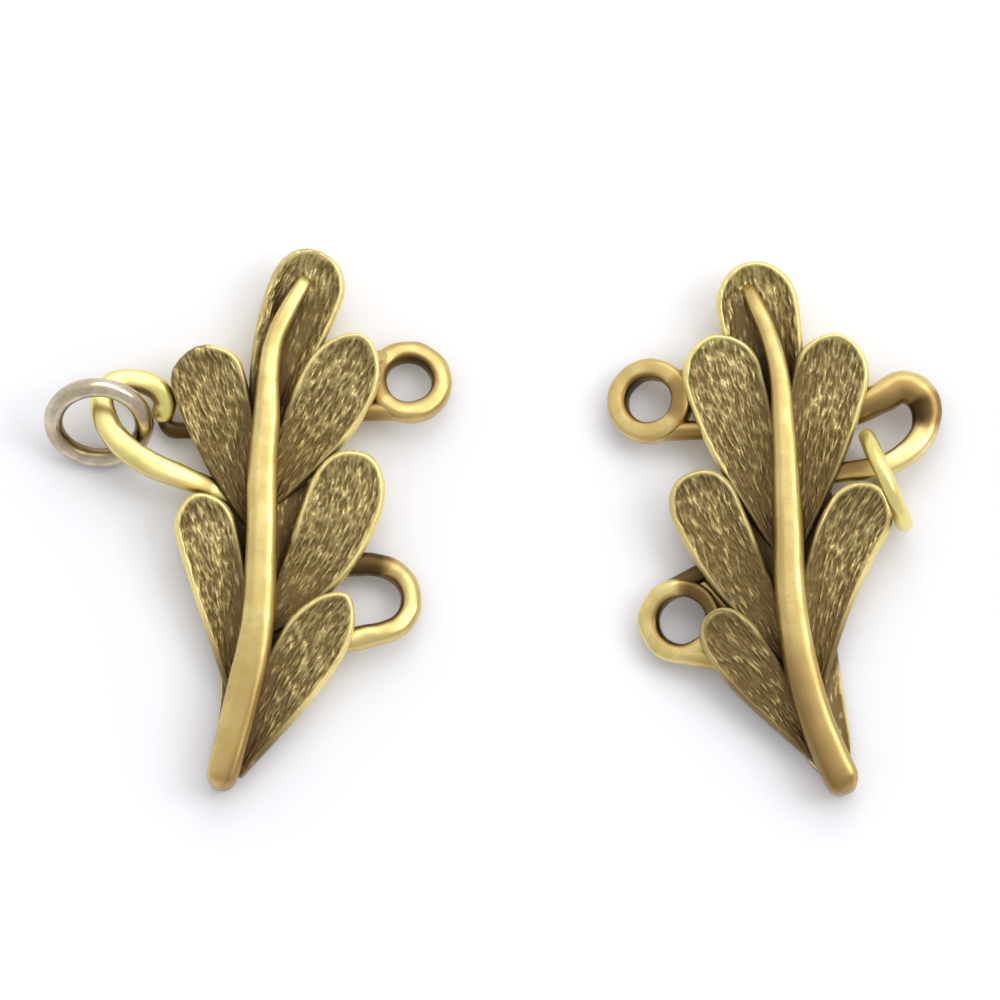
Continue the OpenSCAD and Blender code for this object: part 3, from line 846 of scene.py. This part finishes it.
def right_loop_shade_and_highlight(along, right):
    """Brown; painted shade inside the bend, a painted highlight at the lower right, a darker upper band."""
    # painted highlight at the lower right, where the brown is left off
    bright = ease(0.45, 0.55, along) * ease(0.76, 0.68, along)
    # darker along a band at the upper right
    darker_band = ease(0.32, 0.38, along) * ease(0.5, 0.44, along)
    # painted shade on the inner side of the bend, over an even brown
    brown = 0.14 + 0.45 * darker_band + 0.55 * ease(-0.6, 0.2, right)
    return brown * (1 - bright * (1 - darker_band)) + 0.7 * ease(0.5, 1.0, right) * bright


def lower_eye_tarnish_and_shade(along, right):
    """Painted shade at its upper end, under the lobe, and inside the bend, over an even tarnish."""
    return max(0.2, 0.95 * ease(0.36, 0.2, along), 0.8 * ease(0.1, 0.95, right))


def model_eye(name, eye, leafward):
    """A strand eye: a sloping ring of flattened wire round a hole."""
    slope_to = radians(eye.slope_to)
    axis = Vector((-sin(slope_to), cos(slope_to), 0))
    place = Matrix.Translation(eye[:3]) @ Matrix.Rotation(EYE_SLOPE, 4, axis)
    turned = place.to_3x3()
    radius = EYE_HOLE + EYE_WIRE / 2
    half = radians(eye.dark_span / 2)

    # how far a turn lies in the part under the leaf, which is thinner and painted in shade
    def hidden(turn):
        away = cos(turn - radians(eye.dark_mid))
        return ease(cos(half + EYE_FADE), cos(half - EYE_FADE), away) if half else 0.0

    sections = []
    for k in range(EYE_STEPS):
        a = radians(leafward + 360 * k / EYE_STEPS)
        out = Vector((cos(a), sin(a), 0))
        thick = 0.5 - 0.1 * hidden(a)
        sections.append(Section(place @ (out * radius), turned @ out, turned @ UP,
                                EYE_WIRE * thick, EYE_HIGH * thick))
    piece = sweep(name, wire_rings(sections, eye.roundness), 0.04)
    close_round(piece, WIRE_POINTS)
    back = place.inverted()

    def oxide(_, point):
        spot = (back @ point).to_2d()
        turn = atan2(spot.y, spot.x)
        sloped = 0.5 + 0.5 * cos(turn - slope_to)
        # painted shade on the inner wall of the hole, deepest on the side to which the eye slopes down
        inner = 1 - ease(0.02, 0.4, spot.length - EYE_HOLE)
        # painted shade where the wire runs in towards the leaf
        towards_leaf = ease(0.45, 0.95, cos(turn - radians(leafward)))
        # the eye's even tarnish, and painted shade on the part under the leaf
        return max(eye.dull, inner * (0.25 + 0.75 * sloped), 0.6 * towards_leaf, 0.85 * hidden(turn))

    tint(piece, oxide)
    return piece


def model_leg(name, leg):
    """The straight end of an eye's wire, with painted shade that deepens where it runs under the leaf."""
    start, end = Vector(leg.start), Vector(leg.end)
    way = (end - start).normalized()
    side = way.cross(UP).normalized()
    first = Section(start, side, side.cross(way), LEG_HALF, LEG_HALF * 1.04)
    sections = nose(first, -way)[::-1] + [first, first._replace(place=end)]
    piece = sweep(name, wire_rings(sections, 0.9, LEG_POINTS))
    close_ends(piece, LEG_POINTS)
    # painted shade: the leg's given darkness, deeper along the way in under the leaf
    tint(piece, lambda _, point: leg.dark + 0.4 * ease(0.3, 1.5, (point - start).dot(way)))
    return piece


def model_jump_ring(ring):
    """A jump ring: round wire bent to a circle, with the hairline joint where its ends meet."""
    placed = (Matrix.Translation(ring.place) @ Matrix.Rotation(radians(ring.turn), 4, "Z")
              @ Matrix.Rotation(radians(ring.lean), 4, "X"))
    turns = [tau * i / WIRE_POINTS for i in range(WIRE_POINTS)]
    rings = []
    for k in range(RING_STEPS + 1):
        a = radians(ring.joint + JOINT_HALF + (360 - 2 * JOINT_HALF) * k / RING_STEPS)
        out = Vector((cos(a), sin(a), 0))
        # the wire is slightly uneven, and its ends are dressed with a file
        thick = ring.wire / 2 * (1 + 0.012 * sin(3 * a + 1) + 0.008 * sin(7 * a))
        thick *= 0.97 if k in (0, RING_STEPS) else 1
        rings.append([placed @ (out * (ring.radius + cos(b) * thick) + UP * (sin(b) * thick)) for b in turns])
    piece = sweep(ring.name, rings, 0.01)
    close_ends(piece, WIRE_POINTS)
    # painted shade on the inner side of the wire
    tint(piece, lambda i, _: ring.inner_tan * ease(0.2, 0.95, -cos(turns[i % WIRE_POINTS])))
    return piece


# materials


def new_material(name):
    """A material and its empty node tree."""
    material = bpy.data.materials.new(name)
    material.use_nodes = True
    material.node_tree.nodes.clear()
    return material, material.node_tree


def blend(tree, share, low, high):
    """The low colour at share 0 and the high one at share 1."""
    return add_node(tree, "ShaderNodeMix", {"data_type": "RGBA"}, i0=share, i6=low, i7=high).outputs[2]


def stored(tree, name):
    return add_node(tree, "ShaderNodeAttribute", {"attribute_name": name}).outputs["Fac"]


def openness(tree, distance):
    """1 in the open, and down to 0 in corners of about the given size in metres."""
    return add_node(tree, "ShaderNodeAmbientOcclusion", {"samples": 6}, Distance=distance).outputs["AO"]


def coat(tree, colour, metallic, rough, relief, strength, depth):
    """Ends a material in a metal with a fine relief, whose depth is in metres."""
    bump = add_node(tree, "ShaderNodeBump", Strength=strength, Distance=depth, Height=relief)
    shader = add_node(tree, "ShaderNodeBsdfPrincipled", Base_Color=colour, Metallic=metallic,
                      Roughness=rough, Normal=bump.outputs[0])
    add_node(tree, "ShaderNodeOutputMaterial", Surface=shader.outputs[0])


def antique_cast_brass():
    """Cast brass with an antique gold finish: worn pale ridges over brown oxidised recesses, polished rims.

    The ridges glint like brushed metal and the recesses stay dull and brown, darkest towards the root."""
    finish = bpy.context.scene.clasp_finish
    material, tree = new_material("antique_cast_brass")
    coords = add_node(tree, "ShaderNodeTexCoord").outputs["Object"]
    fan = add_node(tree, "ShaderNodeAttribute", {"attribute_name": "fan"}).outputs["Vector"]
    tarnish = stored(tree, "tarnish")
    height = engraving_height(tree, fan)
    # patches of wear about 2 mm across, and casting grain of about 0.1 mm
    patches = cloud(tree, coords, 500.0, 3.0)
    grain = cloud(tree, coords, 9000.0, 3.0)
    uneven = calculate(tree, "MULTIPLY_ADD", patches, 0.7, height)
    grainy = calculate(tree, "MULTIPLY_ADD", grain, 0.4, uneven)
    dulled = calculate(tree, "MULTIPLY_ADD", tarnish, -0.42, grainy)
    worn = ramp(tree, dulled, 0.5, 1.45, curve="SMOOTHSTEP")
    face = blend(tree, worn, finish.patina, finish.ridge)
    rim = blend(tree, ramp(tree, grain, 0.4, 0.55, 0.75), finish.dull_gold, finish.gold)
    # the rim is dull with oxide where the stored tarnish is high, as on the walls beside the rib
    dull_rim = blend(tree, ramp(tree, tarnish, 0.25, 1.0, 0.0, 0.9), rim, finish.patina)
    surface = blend(tree, stored(tree, "face"), dull_rim, face)
    # corners are darkest where the stored tarnish is high
    dark_below = ramp(tree, tarnish, 0.0, 0.5, -0.1, 0.25)
    cleared = ramp(tree, openness(tree, 0.0008), dark_below, 0.8)
    colour = blend(tree, cleared, finish.crevice, surface)
    bare = calculate(tree, "MULTIPLY", cleared, worn)
    strokes = calculate(tree, "MULTIPLY", height, stored(tree, "engraved"))
    relief = calculate(tree, "MULTIPLY_ADD", grain, 0.35, strokes)
    coat(tree, colour, ramp(tree, bare, 0.0, 1.0, 0.7), ramp(tree, bare, 0.0, 1.0, 0.58, 0.34), relief,
         0.5, 0.00005)
    return material


def satin_metal(name, colours, rough, pits):
    """Plated brass rubbed to a satin: soft gloss, cloudy duller patches, fine pits, dark in the corners."""
    bright, dull, tan, oxide = (getattr(bpy.context.scene.clasp_finish, colour) for colour in colours)
    material, tree = new_material(name)
    coords = add_node(tree, "ShaderNodeTexCoord").outputs["Object"]
    # clouds about 1 mm across, grain of 0.06 mm and pits 0.06 mm across, some 0.3 mm apart
    cloudy = ramp(tree, cloud(tree, coords, 900.0, 4.0, 0.6), 0.35, 0.68, curve="SMOOTHSTEP")
    grain = cloud(tree, coords, 16000.0, 2.0)
    pit = ramp(tree, cell_distance(tree, coords, 3200.0), 0.05, 0.2, 1 - pits, 1.0, "SMOOTHSTEP")
    pitted = blend(tree, pit, oxide, blend(tree, cloudy, dull, bright))
    cornered = blend(tree, ramp(tree, openness(tree, 0.0006), 0.2, 0.7), oxide, pitted)
    # the stored tarnish and painted shade go from bare metal over tan to dark oxide
    tarnish = stored(tree, "tarnish")
    tanned = blend(tree, ramp(tree, tarnish, 0.0, 0.5), cornered, tan)
    colour = blend(tree, ramp(tree, tarnish, 0.4, 1.0), tanned, oxide)
    relief = calculate(tree, "MULTIPLY_ADD", pit, 2.0, grain)
    coat(tree, colour, 1.0, ramp(tree, cloudy, 0.0, 1.0, rough + 0.1, rough), relief, 0.25, 0.00001)
    return material


# satin metals: their bright, dull, tan and darkest colours, roughness, and how dark their pits are. The tan
# and darkest colours also paint the shade stored on the wires, eyes and rings.
SATIN = {
    "satin_gold_brass": (("gold", "dull_gold", "tan", "crevice"), 0.3, 0.2),
    "bright_gold_wire": (("pale_gold", "gold", "tan", "crevice"), 0.29, 0.05),
    "grey_plated_wire": (("grey", "dull_grey", "patina", "crevice"), 0.17, 0.05),
}


def material_for(name):
    """The named material, made when the first piece asks for it."""
    if name in bpy.data.materials:
        return bpy.data.materials[name]
    return satin_metal(name, *SATIN[name]) if name in SATIN else antique_cast_brass()


def settle(piece, node, material, slot="antique_gold_cast", place=(0, 0, 0), crease=CREASE):
    """Brings a finished piece to its place and to metres, with its finish, and lets it stand for its node."""
    pick(piece)
    if crease:
        bpy.ops.object.shade_smooth_by_angle(angle=crease)
    piece.location = [MM * value for value in place]
    piece.scale = (MM, MM, MM)
    bpy.ops.object.transform_apply(location=True, rotation=True, scale=True)
    piece.data.materials.clear()
    piece.data.materials.append(material_for(material))
    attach(piece, "root")
    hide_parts(node)


def settle_on(leaf, piece, material="satin_gold_brass", crease=CREASE):
    settle(piece, leaf.node, material, place=leaf.place, crease=crease)


# floor, lights and camera


def lay_floor(stage):
    bpy.ops.mesh.primitive_plane_add(size=FLOOR_SIZE)
    floor = named("floor")
    card, tree = new_material("matt_white_card")
    shader = add_node(tree, "ShaderNodeBsdfPrincipled", Base_Color=stage.floor, Roughness=0.9)
    add_node(tree, "ShaderNodeOutputMaterial", Surface=shader.outputs[0])
    floor.data.materials.append(card)
    floor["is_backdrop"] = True


def light_tent(stage):
    """A light tent, bright behind the clasp and dimmer on the camera's side."""
    world = bpy.data.worlds.new("light_tent")
    bpy.context.scene.world = world
    world.use_nodes = True
    tree = world.node_tree
    tree.nodes.clear()
    coords = add_node(tree, "ShaderNodeTexCoord").outputs["Generated"]
    parts = add_node(tree, "ShaderNodeSeparateXYZ", Vector=coords)
    dim = ramp(tree, parts.outputs["Y"], -0.35, 0.4, 0.78, 1.14, "SMOOTHSTEP")
    light = calculate(tree, "MULTIPLY", dim, stage.tent_light)
    sky = add_node(tree, "ShaderNodeBackground", Color=(1, 1, 1), Strength=light)
    add_node(tree, "ShaderNodeOutputWorld", Surface=sky.outputs[0])


def hang_lamp(name, turn, height, width, power):
    """A square lamp that points at the clasp, at a turn round it and a height over the floor in degrees."""
    bpy.ops.object.light_add(type="AREA")
    lamp = bpy.context.object
    lamp.name = name
    lamp.data.size = width
    lamp.data.energy = power
    turn, height = radians(turn), radians(height)
    away = Vector((cos(turn) * cos(height), sin(turn) * cos(height), sin(height)))
    lamp.location = away * LAMP_AWAY
    lamp.rotation_euler = away.to_track_quat("Z", "Y").to_euler()


def set_camera():
    bpy.ops.object.camera_add()
    camera = bpy.context.object
    camera.name = "camera"
    camera.data.lens = SENSOR_WIDTH * CAMERA_AWAY / VIEW_WIDTH
    camera.data.clip_start = 0.05
    camera.location = (AIM[0], AIM[1] - cos(CAMERA_HEIGHT) * CAMERA_AWAY, sin(CAMERA_HEIGHT) * CAMERA_AWAY)
    camera.rotation_euler = (pi / 2 - CAMERA_HEIGHT, 0, 0)
    bpy.context.scene.camera = camera
    bpy.context.scene.view_settings.view_transform = "Standard"


# operators and panel


class CLASP_OT_lobes(bpy.types.Operator):
    """Model the engraved lobes of both leaves"""

    bl_idname = "clasp.lobes"
    bl_label = "Engraved Lobes"

    def execute(self, context):
        for leaf in (LEFT, RIGHT):
            for k, lobe in enumerate(leaf.lobes, 1):
                piece = model_lobe("%s_lobe_%d" % (leaf.node, k), lobe, leaf.rib, k)
                settle_on(leaf, piece, "antique_cast_brass", None)
        return {"FINISHED"}


class CLASP_OT_ribs(bpy.types.Operator):
    """Model the polished ribs and the webs beneath them"""

    bl_idname = "clasp.ribs"
    bl_label = "Ribs and Webs"

    def execute(self, context):
        for leaf in (LEFT, RIGHT):
            settle_on(leaf, model_web(leaf.node + "_web", leaf.rib), "antique_cast_brass", WEB_CREASE)
            settle_on(leaf, model_rib(leaf.node + "_rib", leaf.rib, leaf.rib_oxide))
        return {"FINISHED"}


class CLASP_OT_loops(bpy.types.Operator):
    """Model the closure loops, which carry the jump rings"""

    bl_idname = "clasp.loops"
    bl_label = "Closure Loops"

    def execute(self, context):
        left = model_wire("left_leaf_loop", LEFT_LOOP, 0.7, 0.03, left_loop_shade, nosed=True)
        settle_on(LEFT, left, "bright_gold_wire")
        right = model_wire("right_leaf_loop", RIGHT_LOOP, 0.7, 0.03, right_loop_shade_and_highlight)
        settle_on(RIGHT, right)
        # the peg is painted dark all over, as the shade under the nose of the loop
        settle_on(LEFT, model_wire("left_leaf_peg", LEFT_PEG, 0.9, 0.1, lambda along, right: 0.95))
        return {"FINISHED"}


class CLASP_OT_eyes(bpy.types.Operator):
    """Model the strand eyes with the straight ends of their wire"""

    bl_idname = "clasp.eyes"
    bl_label = "Strand Eyes"

    def execute(self, context):
        for leaf in (LEFT, RIGHT):
            for k, eye in enumerate(leaf.eyes, 1):
                name = "%s_eye_%d" % (leaf.node, k)
                legs = [model_leg("%s_leg_%d" % (name, j), leg) for j, leg in enumerate(eye.legs, 1)]
                piece = model_eye(name, eye, leaf.leafward)
                pick(piece)
                for leg in legs:
                    leg.select_set(True)
                bpy.ops.object.join()
                settle_on(leaf, piece)
        settle_on(LEFT, model_wire("left_leaf_eye_2", LEFT_LOWER_EYE, 0.85, 0.04, lower_eye_tarnish_and_shade))
        return {"FINISHED"}


class CLASP_OT_jump_rings(bpy.types.Operator):
    """Model the two jump rings"""

    bl_idname = "clasp.jump_rings"
    bl_label = "Jump Rings"

    def execute(self, context):
        for ring in JUMP_RINGS:
            settle(model_jump_ring(ring), ring.node, ring.metal, ring.slot)
        return {"FINISHED"}


class CLASP_OT_stage(bpy.types.Operator):
    """Set up the floor, the soft lights and the camera"""

    bl_idname = "clasp.stage"
    bl_label = "Stage"

    def execute(self, context):
        stage = context.scene.clasp_stage
        lay_floor(stage)
        light_tent(stage)
        hang_lamp("key_light", 75, 55, 0.3, stage.key_power)
        hang_lamp("side_light", 10, 50, 0.2, stage.side_power)
        set_camera()
        return {"FINISHED"}


class CLASP_PT_tools(bpy.types.Panel):
    bl_label = "Leaf Clasp"
    bl_idname = "CLASP_PT_tools"
    bl_space_type = "VIEW_3D"
    bl_region_type = "UI"
    bl_category = "Clasp"

    def draw(self, context):
        layout = self.layout
        for group in (context.scene.clasp_sizes, context.scene.clasp_finish, context.scene.clasp_stage):
            box = layout.box()
            for prop in group.bl_rna.properties:
                if not prop.is_readonly and prop.identifier != "name":
                    box.prop(group, prop.identifier)
        for operator in OPERATORS:
            layout.operator(operator.bl_idname)


OPERATORS = (
    CLASP_OT_lobes, CLASP_OT_ribs, CLASP_OT_loops, CLASP_OT_eyes, CLASP_OT_jump_rings, CLASP_OT_stage,
)
GROUPS = {"clasp_sizes": ClaspSizes, "clasp_finish": ClaspFinish, "clasp_stage": ClaspStage}


def register():
    for kind in (*GROUPS.values(), *OPERATORS, CLASP_PT_tools):
        bpy.utils.register_class(kind)
    for name, group in GROUPS.items():
        setattr(bpy.types.Scene, name, PointerProperty(type=group))


def unregister():
    for name in GROUPS:
        delattr(bpy.types.Scene, name)
    for kind in (CLASP_PT_tools, *reversed(OPERATORS), *reversed(list(GROUPS.values()))):
        bpy.utils.unregister_class(kind)


def main():
    register()
    bpy.ops.clasp.lobes()
    bpy.ops.clasp.ribs()
    bpy.ops.clasp.loops()
    bpy.ops.clasp.eyes()
    bpy.ops.clasp.jump_rings()
    bpy.ops.clasp.stage()
    boxes = {"cad": CAD_BOX, "visual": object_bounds()}
    {name: [list(corner) for corner in box] for name, box in boxes.items()}


if __name__ == "__main__":
    main()
